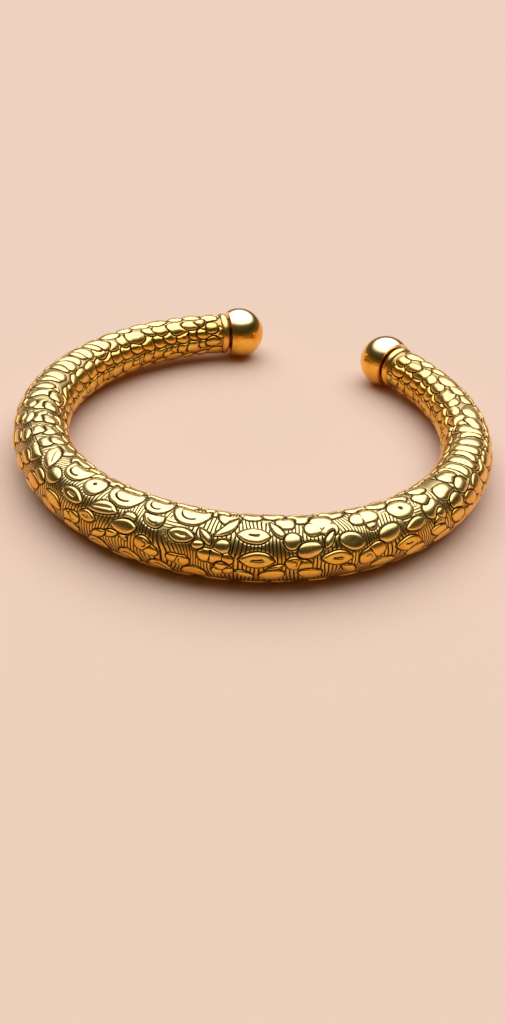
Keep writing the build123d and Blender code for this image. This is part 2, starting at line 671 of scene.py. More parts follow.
CLOUD = Cluster(
    4.3, 3.4, mark=0.6, edge=0.7, soft=0.15,
    lobes=((-1.15, -0.5, 1.1), (0.95, -0.75, 1.15), (0.1, 0.55, 1.55)),
)
KNOT = Cluster(
    3.9, 3.2, mark=0.8, edge=0.7,
    lobes=((-1.05, 0.2, 1.15), (0.6, 0.35, 1.4), (0.45, -1.35, 0.65)),
)
PAD = Cushion(2.9, 2.6, corner=1.15, edge=0.7)
SQUARE = Cushion(2.5, 2.3, corner=0.8, edge=0.6)
RIB = Cushion(2.3, 5.6, corner=1.1, edge=0.9, curl=0.04)
NARROW_RIB = Cushion(1.7, 4.6, corner=0.8, edge=0.7, curl=-0.05)
BENT_RIB = Cushion(2.0, 5.0, corner=0.95, edge=0.8, curl=0.1)
LONG_PAD = Cushion(3.7, 3.0, corner=1.3, edge=1.1)
GREAT_PAD = Cushion(4.0, 3.8, corner=1.8, edge=1.3)

# The front, both shoulders and the left mouth are laid motif by motif, so that no two neighbours match.
# Each spot is a motif, its middle along the line and round the section, and then its turn and its size
# where they matter. The scales that fringe the wrist side come first.
SCALES = (
    (1.0, 117), (5.5, 110), (10.3, 111), (13.2, 116), (16.8, 101), (21.2, 109), (25.2, 115),
    (28.5, 112), (32.0, 106), (-3.4, 116), (-7.4, 114), (-11.0, 113), (-14.6, 110), (-18.6, 112),
    (-22.5, 106),
)
SPOTS = (
    (SMALL_MOON, 7.3, 94), (SQUARE, 14.6, 84), (SWOOSH, 7.3, 69, 52), (SWOOSH, 13.5, 67, -58, 0.85),
    (MOON, -2.5, 97), (GREAT_MOON, 2.3, 93, -3), (GREAT_MOON, -7.5, 93, 3, 1.06),
    (GREAT_ROUND, -12.5, 78, 90, 0.92), (MOON, -16.7, 94, 5, 1.08), (LONG_LEAF, -22.3, 74, -48),
    (CLOUD, 19.2, 76), (KNOT, 25.4, 78), (GREAT_ROUND, 31.0, 77), (SMALL_MOON, -2.1, 62, 0, 0.9),
    (DISHED_LEAF, 10.5, 55, 0, 0.98), (SHORT_LEAF, 1.7, 42), (SLIM_LEAF, 4.7, 46, -58, 0.9),
    (BLOSSOM, 6.3, 20), (DISHED_LEAF, 11.0, 15, -3), (ROUND, 15.3, 47, 70, 0.86), (OVAL, 17.4, 31, 22),
    (DISHED_OVAL, 22.8, 38, -35, 1.08), (OVAL, 27.9, 38, 15, 1.04), (PLAIN_LEAF, 32.0, 37, 5),
    (TWIG, 13.0, -1, 28, 0.95), (SLIM_LEAF, 19.9, 47, 62, 0.9), (BEAN, 15.9, 7, -8),
    (DISHED_LEAF, 20.6, 13, -6, 0.94), (GREAT_BEAN, 25.3, 7, 24), (DISHED_LEAF, 30.6, 5, -8),
    (BEAN, 1.7, -2, 170, 0.86), (TREFOIL, 7.0, -9, 20, 0.75), (SLIM_LEAF, 9.6, -14, -20, 0.85),
    (OVAL, 12.9, -19), (OVAL, 17.4, -17, -6, 0.95), (SLIM_LEAF, 22.3, -14, -40),
    (PLAIN_LEAF, 26.9, -20, 6), (OVAL, 32.0, -19, 10), (BEAD, -5.2, 49),
    (SLIM_LEAF, -5.6, 19, -50, 0.85), (BEAD, 3.9, 31, 20, 0.9), (PLAIN_LEAF, -5.6, 31, 8, 1.05),
    (CURVED_LEAF, -9.2, 46, 14), (DISHED_LEAF, -14.5, 41, -4, 0.94), (ROUND, -19.1, 50, 0, 1.02),
    (OVAL, -21.4, 30, -20, 0.92), (MOON, -25.5, 58, -14, 0.9), (SHORT_LEAF, -11.1, 22, 0, 0.86),
    (BEAN, -2.3, 9, -32), (SLIM_LEAF, -7.3, 10, 24, 0.9), (SLIM_LEAF, -9.1, -1, 38),
    (BEAN, -13.6, 3, 200, 0.9), (PLAIN_LEAF, -17.4, 11, -26, 1.05), (OVAL, -22.6, 10, 4),
    (MOON, -4.8, -32, 184, 0.8), (MOON, -0.7, -36, 176, 0.75), (SMALL_MOON, 3.7, -31, 178),
    (PLAIN_LEAF, -13.9, -21, 12), (OVAL, -18.6, -13, -18, 0.9), (MOON, -9.4, -34, 190, 0.75),
    (PLAIN_LEAF, -24.0, -14, 10), (PAD, 35.6, 53, 20, 1.08), (PAD, 39.3, 69, 0, 1.12),
    (SQUARE, 35.2, 82, 30), (ROUND, 40.3, 38, 0, 0.95), (BEAN, 36.2, 26, 60, 0.9),
    (PLAIN_LEAF, 35.9, 2, -20), (OVAL, 40.0, 8, -35), (OVAL, 37.0, -21, 10), (PAD, 36.2, 106),
    (PAD, -26.3, 84, 0, 0.9), (PAD, -29.6, 99, 10), (SQUARE, -30.2, 76, 0, 0.95),
    (OVAL, -30.6, 52, -12, 0.9), (OVAL, -26.6, 31, -10, 0.95), (OVAL, -28.0, 8, 16),
    (PAD, -33.9, 90, 0, 1.05), (OVAL, -34.4, 65, -20, 0.9), (OVAL, -32.2, 30, 14),
    (PAD, -35.8, 45, 0, 0.92), (OVAL, -33.4, 7, -12), (PAD, -37.9, 92, 0, 1.1),
    (OVAL, -38.6, 68, 30, 0.9), (OVAL, -37.2, 22, 0, 0.95), (OVAL, -29.2, -16, -10),
    (OVAL, -34.6, -18, 14), (PLAIN_LEAF, -39.2, -4, -8), (PAD, -26.2, 108, 0, 0.9),
    (SQUARE, -33.2, 112), (SQUARE, -37.6, 116), (OVAL, -41.0, 44, 16, 1.05), (RIB, -41.9, 92, 6, 0.98),
    (PAD, -41.4, 14, -20, 0.9), (PAD, -44.6, 36, 30, 0.95), (NARROW_RIB, -44.1, 78, -8),
    (PAD, -42.6, -22, 0, 0.95), (SQUARE, -41.4, 124, 0, 1.1), (PAD, -84.6, 92, 14, 1.05),
    (OVAL, -84.9, 50, -10, 0.9), (PAD, -84.7, 136, 8, 0.85), (OVAL, -85.0, 8, 12, 0.9),
    (OVAL, -84.8, 178, 0, 0.9), (BEAD, -82.7, 113, 30, 1.1), (PAD, 42.6, 92, 12, 1.1),
    (PAD, 43.0, 58, 20, 0.95), (OVAL, 43.6, 22, -30),
)
LAID = tuple(Placing(SCALE, *spot) for spot in SCALES) + tuple(Placing(*spot) for spot in SPOTS)

# The underside, the wrist side and both arms are filled by rows. Each names its angle, motifs, pitch,
# first and last length along the line, shift, sway and swell. Later rows cut into earlier ones.
ROWS = (
    Row(165, (OVAL, PAD, ROUND), 3.5, 0.0, 41.0, 1.0),
    Row(137, (SQUARE, OVAL, PAD), 3.3, 0.0, 41.0, 0.4, 8.0),
    Row(-58, (SHORT_LEAF, OVAL, CURVED_LEAF, BEAN), 4.3, 0.0, 40.0, 1.8),
    Row(-90, (DISHED_LEAF, TREFOIL, OVAL), 4.4, 0.0, 40.0, 0.5),
    Row(-124, (CURVED_LEAF, OVAL, BEAN), 4.3, 0.0, 40.0, 2.0),
    Row(-160, (OVAL, SHORT_LEAF, ROUND), 4.0, 0.0, 40.0, 0.6),
    Row(-172, (PAD, SQUARE, BEAN), 3.2, 39.5, 90.0, 1.2, 24.0, 1.35),
    Row(-130, (GREAT_PAD, OVAL, PAD), 3.7, 39.5, 90.0, 0.3, 24.0, 1.2),
    Row(-88, (OVAL, BEAN, GREAT_PAD), 3.8, 39.5, 90.0, 1.0, 24.0, 1.2),
    Row(-48, (PAD, LONG_LEAF, OVAL), 3.7, 39.5, 90.0, 0.0, 30.0, 1.3),
    Row(150, (SQUARE, ROUND, OVAL), 3.1, 39.5, 90.0, 0.5, 24.0, 1.35),
    Row(-8, (OVAL, PAD, BEAN), 3.6, 40.0, 90.0, 1.1, 34.0, 1.4),
    Row(34, (PAD, OVAL, ROUND), 3.5, 40.0, 90.0, 0.4, 34.0, 1.4),
    Row(118, (PAD, LONG_PAD, OVAL), 3.6, 58.0, 90.0, 0.9, 30.0, 1.3),
    Row(88, (RIB, BENT_RIB, NARROW_RIB, RIB, NARROW_RIB), 2.35, 42.0, 62.0, 0.0, 13.0, 1.1),
    Row(74, (LONG_PAD, GREAT_PAD, PAD), 4.2, 61.0, 90.0, 0.0, 34.0, 1.25),
)


@dataclass(frozen=True)
class Relief:
    """The chased surface on a grid.

    Fields:
        depth: Millimetres below the tube's outer radius.
        marks: What the finish needs to draw the fine lines: how deep the creases are, how far the
            outline is, which hatching line is near, and how strongly it is cut.
    """

    depth: Array
    marks: dict[str, Array]


@dataclass(frozen=True)
class Chasing:
    """The chaser's work over the whole tube: motifs, the lines round them, and hatching between.

    Fields:
        ground: Depth of the hatched ground.
        wall: From where to where, across an outline, the sheet falls to the ground.
        ditch: Depth of the line round each motif, below the ground.
        ditch_width: How wide that line is.
        channel: How wide a gap a later motif cuts into an earlier one round itself.
        rise: How far a motif's side rises to its top.
        cut: Depth of the deepest crease.
        hem: How far inside an outline a crease reaches its full depth.
        step: How much lower the lowest motif stands than the highest.
        bold: From where to where along the arms the relief grows bolder.
        hand: How far the outlines wander, as work by hand does.
        hand_size: Over what length they do so.
        dent: Depth of the sheet's shallow unevenness.
        dent_size: Over what length it changes.
        margin: How far out from a motif the ground is counted as its own.
        mouth: How far short of the mouth a row's last motif stands.
        hatch_pitch: Distance between two lines of hatching.
        hatch_edge: From where to where, outside an outline, the hatching starts.
        hatched: From where to where along the arms it ends.
        fanning: How far the lines drift sideways, in pitches, so that they fan out and close up.
        fan_size: Over what length they do so.
        shake: How unsteady each line is, in pitches.
        shake_size: Over what length.
        patch_size: Size of the noise that makes the patches where the lines run along the tube.
        patch_level: How high that noise is there. A higher level makes fewer patches.
        seed: Which random draws shape the motifs.
        hatch_seed: Which random draws shape the hatching.
    """

    ground: float = 0.28
    wall: tuple[float, float] = (-0.03, 0.07)
    ditch: float = 0.08
    ditch_width: float = 0.11
    channel: float = 0.2
    rise: float = 0.26
    cut: float = 0.12
    hem: float = 0.1
    step: float = 0.05
    bold: tuple[float, float] = (44.0, 60.0)
    hand: float = 0.16
    hand_size: float = 1.9
    dent: float = 0.02
    dent_size: float = 5.0
    margin: float = 2.6
    mouth: float = 0.7
    hatch_pitch: float = 0.46
    hatch_edge: tuple[float, float] = (0.14, 0.22)
    hatched: tuple[float, float] = (37.0, 41.0)
    fanning: float = 1.9
    fan_size: float = 4.2
    shake: float = 0.1
    shake_size: float = 1.1
    patch_size: float = 4.6
    patch_level: float = 0.5
    seed: int = 11
    hatch_seed: int = 31

    def row_placings(self, row: Row, draw: np.random.Generator) -> list[Placing]:
        """One row's motifs. Steps and motifs shrink as the tube does, and all vary a little.

        A motif is moved by up to 0.25 mm along the line and 4 degrees round it, and drawn up to 0.1
        larger or smaller, and the step to the next one grows or shrinks with it by up to 8 per cent.

        Args:
            row: The row.
            draw: Where the variation comes from.

        Returns:
            Its motifs, from the middle of the front to the mouths.
        """
        placings = []
        for side in Side:
            reach = row.first + (row.shift if side is Side.RIGHT else row.pitch - row.shift)
            count = 0 if side is Side.RIGHT else 1
            while reach < min(row.last, LINE.arm - self.mouth):
                motif = row.motifs[count % len(row.motifs)]
                along, angle, turn, size = draw.uniform(-1.0, 1.0, 4)
                shrink = float(LINE.radius(reach)) / LINE.belly_radius
                placings.append(Placing(
                    motif, side.value * (reach + 0.25 * along), row.angle + 4.0 * angle,
                    row.sway * turn, shrink * (row.swell + 0.1 * size),
                ))
                reach += row.pitch * shrink * (1 + 0.08 * size)
                count += 1
        return placings

    def placings(self) -> list[Placing]:
        """Every motif: the rows first, and then those laid by hand, each over the ones before."""
        draw = np.random.default_rng(self.seed)
        return [placing for row in ROWS for placing in self.row_placings(row, draw)] + list(LAID)

    def work(self, along: Array, around: Array) -> Relief:
        """Chases the whole tube.

        Each motif changes only a window round itself. It first cuts the earlier ones back by a
        channel, and then takes the points that it is nearest to. The side of a motif is a quarter
        round of the depth inside its outline, and every motif stands at a slightly different height.
        Outside the outlines the sheet falls to the ground, with a bell-shaped ditch along each. On the
        arms the rise, the ground and the outlines grow by 25, 15 and 20 per cent.

        Args:
            along: Lengths along the line, evenly spaced.
            around: Angles round the section in radians.

        Returns:
            The relief on the grid of both.
        """
        grid = np.meshgrid(along, around, indexing="ij")
        girth = math.tau * LINE.belly_radius
        sway_along, sway_around, shake, dent = (
            wander(*grid, size, girth, self.seed + k)
            for k, size in enumerate((self.hand_size, self.hand_size, self.shake_size, self.dent_size))
        )
        far_away = 3.0
        distance = np.full(grid[0].shape, far_away)
        edge = np.full(grid[0].shape, Motif.edge)
        top, crease, lowered = (np.zeros(grid[0].shape) for _ in range(3))
        for number, placing in enumerate(self.placings()):
            motif, size = placing.motif, placing.size
            radius = float(LINE.radius(placing.along))
            # Half moons and clusters reach past the width they are drawn to, so that it counts 1.4 times.
            half = (max(motif.length, 1.4 * motif.width) / 2 + self.margin) * size
            first, last = np.searchsorted(along, [placing.along - half, placing.along + half])
            offset = (around - math.radians(placing.angle) + math.pi) % math.tau - math.pi
            columns = np.nonzero(np.abs(offset) * radius < half)[0]
            window = np.ix_(np.arange(first, last), columns)
            x = (grid[0][window] - placing.along + self.hand * sway_along[window]) / size
            y = (offset[None, columns] * radius + self.hand * sway_around[window]) / size
            turn = math.radians(placing.turn)
            x, y = math.cos(turn) * x + math.sin(turn) * y, math.cos(turn) * y - math.sin(turn) * x
            stamp = motif.stamp(x, y)
            own = stamp.distance * size
            others = np.maximum(distance[window], self.channel - own)
            wins = own < others
            distance[window] = np.where(wins, own, others)
            # Steps of 0.37 of the range give neighbours clearly different heights.
            lower = self.step * (number * 0.37 % 1.0)
            for layer, value in ((top, stamp.top), (crease, stamp.crease), (lowered, lower),
                                 (edge, motif.edge * size)):
                layer[window] = np.where(wins, value, layer[window])
        side = np.sqrt(1 - np.square(1 - np.clip(-distance / edge, 0, 1)))
        crease = crease * smoothstep(0.0, -self.hem, distance)
        ditch = self.ditch * bell(distance - self.ditch_width, self.ditch_width)
        outside = smoothstep(*self.wall, distance)
        bold = smoothstep(*self.bold, np.abs(grid[0]))
        dome = self.rise * (1 + 0.25 * bold) * (1 - side * top) + self.cut * crease + lowered
        depth = dome * (1 - outside) + self.ground * (1 + 0.15 * bold) * outside + ditch
        return Relief(depth + self.dent * (1 + dent), {
            "crease": crease,
            "outline": np.clip(distance * (1 + 0.2 * bold), -1.0, 1.0),
            **self.hatching(*grid, distance, girth, self.shake * shake),
        })

    def hatching(self, along: Array, around: Array, distance: Array, girth: float,
                 shake: Array) -> dict[str, Array]:
        """Rules the ground with fine lines, round the tube or, in patches, along it.

        A line's number is the length along the tube, or the way round it, over the pitch, plus a
        smooth drift, which is halved in the patches. Both ways fade out where a patch ends: there the
        blurred share of patches is near a half, and four times the share times its rest is near one.

        Args:
            along: Lengths along the line, as a grid.
            around: Angles round the section, as a grid.
            distance: Millimetres from the nearest motif.
            girth: The tube's girth at its thickest.
            shake: The lines' unsteadiness, in pitches.

        Returns:
            The number of the line, with its fraction, and how strongly it is cut.
        """
        drift, patches = (wander(along, around, size, girth, self.hatch_seed + k)
                          for k, size in enumerate((self.fan_size, self.patch_size)))
        lengthwise = patches > self.patch_level
        blurred = box_blur(lengthwise, 2)
        ends = smoothstep(0.0, 0.6, 4 * blurred * (1 - blurred))
        lines_round = round(girth / self.hatch_pitch)
        number = np.where(
            lengthwise,
            around / math.tau * lines_round + 0.5 * self.fanning * drift,
            along / self.hatch_pitch + self.fanning * drift,
        )
        reach = 1 - smoothstep(*self.hatched, np.abs(along))
        ground = smoothstep(*self.hatch_edge, distance) * (1 - ends) * reach
        return {"hatching": number + shake, "ground": ground}


# ---------------------------------------------------------------- finishes


# Nearly all of a noise texture's values lie between these two.
NOISE_SPAN = (0.3, 0.7)

# A smooth range maps a value along an S-shaped curve that stays level outside. Its inputs are the value,
# where the curve starts and ends, and what it gives there, zero and one if nothing else is said.
SMOOTH = {"interpolation_type": "SMOOTHSTEP"}
# A mix of two colours has the second one's share as input 0, and the colours as inputs 6 and 7.
COLOURS = {"data_type": "RGBA"}
ABSOLUTE, COSINE, MAXIMUM, MULTIPLY, SUBTRACT = (
    {"operation": name} for name in ("ABSOLUTE", "COSINE", "MAXIMUM", "MULTIPLY", "SUBTRACT")
)


def linear(hex_colour: str) -> tuple[float, float, float, float]:
    """An sRGB colour such as "#FFCC66" as linear red, green, blue and alpha."""
    shares = np.array([int(hex_colour[k:k + 2], 16) / 255 for k in (1, 3, 5)])
    values = np.where(shares <= 0.04045, shares / 12.92, ((shares + 0.055) / 1.055) ** 2.4)
    return (*values.tolist(), 1.0)


def per_metre(size: float) -> float:
    """The scale of a texture whose features are size millimetres across."""
    return 1.0 / (size * MM)


def add_node(tree: bpy.types.NodeTree, kind: str, settings: dict | None = None,
             inputs: dict | tuple = ()) -> bpy.types.Node:
    """Adds one node with its settings and inputs.

    Args:
        tree: The material's or world's tree.
        kind: The node's type.
        settings: Values by property name.
        inputs: Constants or output sockets, by the input's name or number, or simply in order.

    Returns:
        The new node.
    """
    node = tree.nodes.new(kind)
    for name, value in (settings or {}).items():
        setattr(node, name, value)
    for name, value in inputs.items() if isinstance(inputs, dict) else enumerate(inputs):
        if isinstance(value, bpy.types.NodeSocket):
            tree.links.new(value, node.inputs[name])
        else:
            node.inputs[name].default_value = value
    return node


def new_tree(name: str) -> tuple[bpy.types.Material, bpy.types.NodeTree]:
    """An empty material and its node tree."""
    material = bpy.data.materials.new(name)
    material.use_nodes = True
    material.node_tree.nodes.clear()
    return material, material.node_tree


@dataclass(frozen=True)
class GoldPlate:
    """Gold-plated brass, or bare brass: clouded with a warmer shade, marked by fine tools, and painted paler
    along its top as a highlight.

    Fields:
        name: The material's name.
        light: Colour of the cleanest metal.
        warm: Colour of the patches where it has toned.
        patch: Size of those patches.
        toned: Between which values of their noise the one colour turns into the other.
        painted_highlight: Colour of the highlight painted along the top of the bangle as it lies.
        highlight_heights: Between which heights above the table the metal pales to that painted highlight.
        shine: Roughness of the burnished metal.
        haze: How much rougher the toned patches are.
        grain: Size of the finest tool marks, drawn coarser than real ones so that they show.
        grain_depth: How deep they are, as a share of the deepest chased line.
        line_depth: Depth of that line.
    """

    name: str
    light: str = "#F9BE4E"
    warm: str = "#F0A93A"
    patch: float = 2.6
    toned: tuple[float, float] = (0.38, 0.68)
    painted_highlight: str = "#FFDF98"
    highlight_heights: tuple[float, float] = (5.4, 9.2)
    shine: float = 0.2
    haze: float = 0.08
    grain: float = 0.25
    grain_depth: float = 0.1
    line_depth: float = 0.06

    def layers(self, tree: bpy.types.NodeTree) -> tuple[bpy.types.NodeSocket, ...]:
        """The metal's colour, roughness and height: toned patches, a highlight painted paler along the top,
        and fine tool marks.

        Args:
            tree: The material's tree.

        Returns:
            Sockets of colour, roughness and height, the last from zero to one.
        """
        place = add_node(tree, "ShaderNodeTexCoord").outputs["Object"]
        patches, marks = (
            add_node(tree, "ShaderNodeTexNoise", inputs=texture | {"Vector": place}).outputs["Fac"]
            for texture in (
                {"Scale": per_metre(self.patch), "Detail": 4.0, "Roughness": 0.6},
                {"Scale": per_metre(self.grain), "Detail": 2.0},
            )
        )
        # A painted highlight: the colour pales towards the top of the bangle as it lies, by height above the
        # table.
        height = add_node(tree, "ShaderNodeSeparateXYZ", inputs=(place,)).outputs[2]
        low, high = (limit * MM for limit in self.highlight_heights)
        toned = add_node(tree, "ShaderNodeMapRange", SMOOTH, (patches, *self.toned)).outputs[0]
        painted_top = add_node(tree, "ShaderNodeMapRange", SMOOTH, (height, low, high)).outputs[0]
        colour = linear(self.light)
        for share, other in ((toned, self.warm), (painted_top, self.painted_highlight)):
            both = {0: share, 6: colour, 7: linear(other)}
            colour = add_node(tree, "ShaderNodeMix", COLOURS, both).outputs[2]
        span = (patches, *NOISE_SPAN, self.shine, self.shine + self.haze)
        rough = add_node(tree, "ShaderNodeMapRange", SMOOTH, span).outputs[0]
        span = (marks, 0.0, 1.0, 0.0, self.grain_depth)
        return colour, rough, add_node(tree, "ShaderNodeMapRange", SMOOTH, span).outputs[0]

    def material(self) -> bpy.types.Material:
        """The finished metal."""
        material, tree = new_tree(self.name)
        colour, rough, height = self.layers(tree)
        bump = add_node(tree, "ShaderNodeBump", inputs={"Distance": self.line_depth * MM, "Height": height})
        shader = add_node(tree, "ShaderNodeBsdfPrincipled", inputs={
            "Metallic": 1.0, "Base Color": colour, "Roughness": rough, "Normal": bump.outputs[0],
        })
        add_node(tree, "ShaderNodeOutputMaterial", inputs=(shader.outputs[0],))
        return material


@dataclass(frozen=True)
class ChasedGold(GoldPlate):
    """The same metal with chased lines, and the darkening that was left in them.

    Fields:
        oxide: Colour of the darkening.
        dull: Roughness there.
        darkest: How far a line is darkened.
        film: How much darkening stays on the hatched ground.
        gap_film: How much stays in the unhatched gaps between motifs.
        film_edge: How far outside an outline the film is whole.
        stroke: Between which values of the hatching's wave a stroke starts. The wave is one in the
            middle of a line and minus one halfway between two.
        outline: How far outside a motif the middle of the line round it lies.
        outline_edge: How far from that middle the line has ended, and how far it is whole.
        crease_edge: Between which depths a crease shows as a line.
    """

    oxide: str = "#221006"
    dull: float = 0.5
    darkest: float = 0.97
    film: float = 0.08
    gap_film: float = 0.4
    film_edge: float = 0.2
    stroke: tuple[float, float] = (0.1, 0.6)
    outline: float = 0.07
    outline_edge: tuple[float, float] = (0.13, 0.03)
    crease_edge: tuple[float, float] = (0.42, 0.72)

    def layers(self, tree: bpy.types.NodeTree) -> tuple[bpy.types.NodeSocket, ...]:
        """Draws the hatching, outlines and creases sharply from the marks that the mesh carries.

        Each is a threshold of its mark, and the darkest of the three is the line that is drawn.

        Args:
            tree: The material's tree.

        Returns:
            Sockets of colour, roughness and height, with the lines cut in.
        """
        colour, rough, grain = super().layers(tree)
        crease, outline, hatching, ground = (
            add_node(tree, "ShaderNodeAttribute", {"attribute_name": name}).outputs["Fac"]
            for name in ("crease", "outline", "hatching", "ground")
        )
        turns = add_node(tree, "ShaderNodeMath", MULTIPLY, (hatching, math.tau)).outputs[0]
        wave = add_node(tree, "ShaderNodeMath", COSINE, (turns,)).outputs[0]
        stroke = add_node(tree, "ShaderNodeMapRange", SMOOTH, (wave, *self.stroke)).outputs[0]
        past_line = add_node(tree, "ShaderNodeMath", SUBTRACT, (outline, self.outline)).outputs[0]
        from_line = add_node(tree, "ShaderNodeMath", ABSOLUTE, (past_line,)).outputs[0]
        outlined = add_node(tree, "ShaderNodeMapRange", SMOOTH, (from_line, *self.outline_edge)).outputs[0]
        creased = add_node(tree, "ShaderNodeMapRange", SMOOTH, (crease, *self.crease_edge)).outputs[0]
        lines = stroke
        for operation, other in ((MULTIPLY, ground), (MAXIMUM, outlined), (MAXIMUM, creased)):
            lines = add_node(tree, "ShaderNodeMath", operation, (lines, other)).outputs[0]
        span = (ground, 0.0, 1.0, self.gap_film, self.film)
        coat = add_node(tree, "ShaderNodeMapRange", SMOOTH, span).outputs[0]
        outside = add_node(tree, "ShaderNodeMapRange", SMOOTH, (outline, 0.0, self.film_edge)).outputs[0]
        film = add_node(tree, "ShaderNodeMath", MULTIPLY, (outside, coat)).outputs[0]
        oxidised = add_node(tree, "ShaderNodeMath", MULTIPLY, (lines, self.darkest)).outputs[0]
        dark = add_node(tree, "ShaderNodeMath", MAXIMUM, (oxidised, film)).outputs[0]
        darkened = {0: dark, 6: colour, 7: linear(self.oxide)}
        colour = add_node(tree, "ShaderNodeMix", COLOURS, darkened).outputs[2]
        rough = add_node(tree, "ShaderNodeMix", inputs={0: dark, 2: rough, 3: self.dull}).outputs[0]
        return colour, rough, add_node(tree, "ShaderNodeMath", SUBTRACT, (grain, lines)).outputs[0]


@dataclass(frozen=True)
class CastResin:
    """Lac resin, poured in hot.

    Fields:
        name: The material's name.
        colour: Colour of the clear resin.
        cloud: Colour of the clouds in it.
        cloud_size: How large they are.
        skin_depth: How uneven its skin is.
        shine: Roughness of the skin.
    """

    name: str
    colour: str = "#5A2A18"
    cloud: str = "#3A170D"
    cloud_size: float = 3.0
    skin_depth: float = 0.05
    shine: float = 0.35

    def material(self) -> bpy.types.Material:
        """Clouded resin with a faintly uneven skin."""
        material, tree = new_tree(self.name)
        place = add_node(tree, "ShaderNodeTexCoord").outputs["Object"]
        clouds = add_node(tree, "ShaderNodeTexNoise", inputs={
            "Scale": per_metre(self.cloud_size), "Detail": 3.0, "Vector": place,
        }).outputs["Fac"]
        clouded = {0: clouds, 6: linear(self.colour), 7: linear(self.cloud)}
        colour = add_node(tree, "ShaderNodeMix", COLOURS, clouded).outputs[2]
        bump = add_node(tree, "ShaderNodeBump", inputs={
            "Strength": 0.3, "Distance": self.skin_depth * MM, "Height": clouds,
        })
        shader = add_node(tree, "ShaderNodeBsdfPrincipled", inputs={
            "Roughness": self.shine, "Base Color": colour, "Normal": bump.outputs[0],
        })
        add_node(tree, "ShaderNodeOutputMaterial", inputs=(shader.outputs[0],))
        return material


# Where a finish's painted highlight is its light colour, no highlight is painted on its top.
# Chased and plated sheet: warm gold with soft, broken highlights, a highlight painted paler along its top,
# and fine lines that read as black.
CHASED_PLATE = ChasedGold("chased_gold_plate")
# Hard solder, filed flush, chased over and plated: a duller and slightly greyer stripe in the sheet.
FILED_SOLDER = ChasedGold("filed_gold_solder", light="#F2C565", warm="#DEAE4C", painted_highlight="#F2C565", shine=0.3)
# Rolled brass sheet that was never plated: brownish and dull, with no clear reflection.
BARE_SHEET = GoldPlate("bare_brass_sheet", light="#B8975A", warm="#8E6C38", painted_highlight="#B8975A", shine=0.4)
# Half-round wire, burnished and plated: an unbroken soft highlight round each collar, and a highlight
# painted paler along its top.
PLAIN_PLATE = GoldPlate("plain_gold_plate", shine=0.22)
# Pressed domes, buffed and plated: a near mirror with hardly a tool mark, the brightest spots of all, and
# the palest highlight painted along their tops.
POLISHED_PLATE = GoldPlate("polished_gold_plate", painted_highlight="#FFEABC", shine=0.13, grain_depth=0.02)
# Turned brass, coloured dark brown as painted shade in the groove between collar and ball.
GROOVE_SHADE_BRASS = GoldPlate("groove_shade_brass", light="#5A4018", warm="#3A270F", painted_highlight="#5A4018", shine=0.4)
# Drawn wire: yellow brass with a satin skin.
DRAWN_WIRE = GoldPlate("drawn_brass_wire", light="#C9A860", warm="#A98345", painted_highlight="#C9A860", shine=0.35)
# Sawn from sheet and left rough: the dullest of the brass.
SAWN_SHEET = GoldPlate("sawn_brass_sheet", light="#CBAA66", warm="#B08C4E", painted_highlight="#CBAA66", shine=0.45)
# Lac resin set from a melt: dark red-brown, a little glossy, with soft clouds.
LAC_RESIN = CastResin("cast_lac_resin")


# ---------------------------------------------------------------- sub-assemblies


def dress(piece: bpy.types.Object, material: bpy.types.Material, node: str) -> bpy.types.Object:
    """Gives a piece its material, and hides the CAD node that it stands for.

    Args:
        piece: The new piece.
        material: Its finish.
        node: The CAD node.

    Returns:
        The same piece.
    """
    piece.data.materials.append(material)
    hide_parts(node)
    return piece


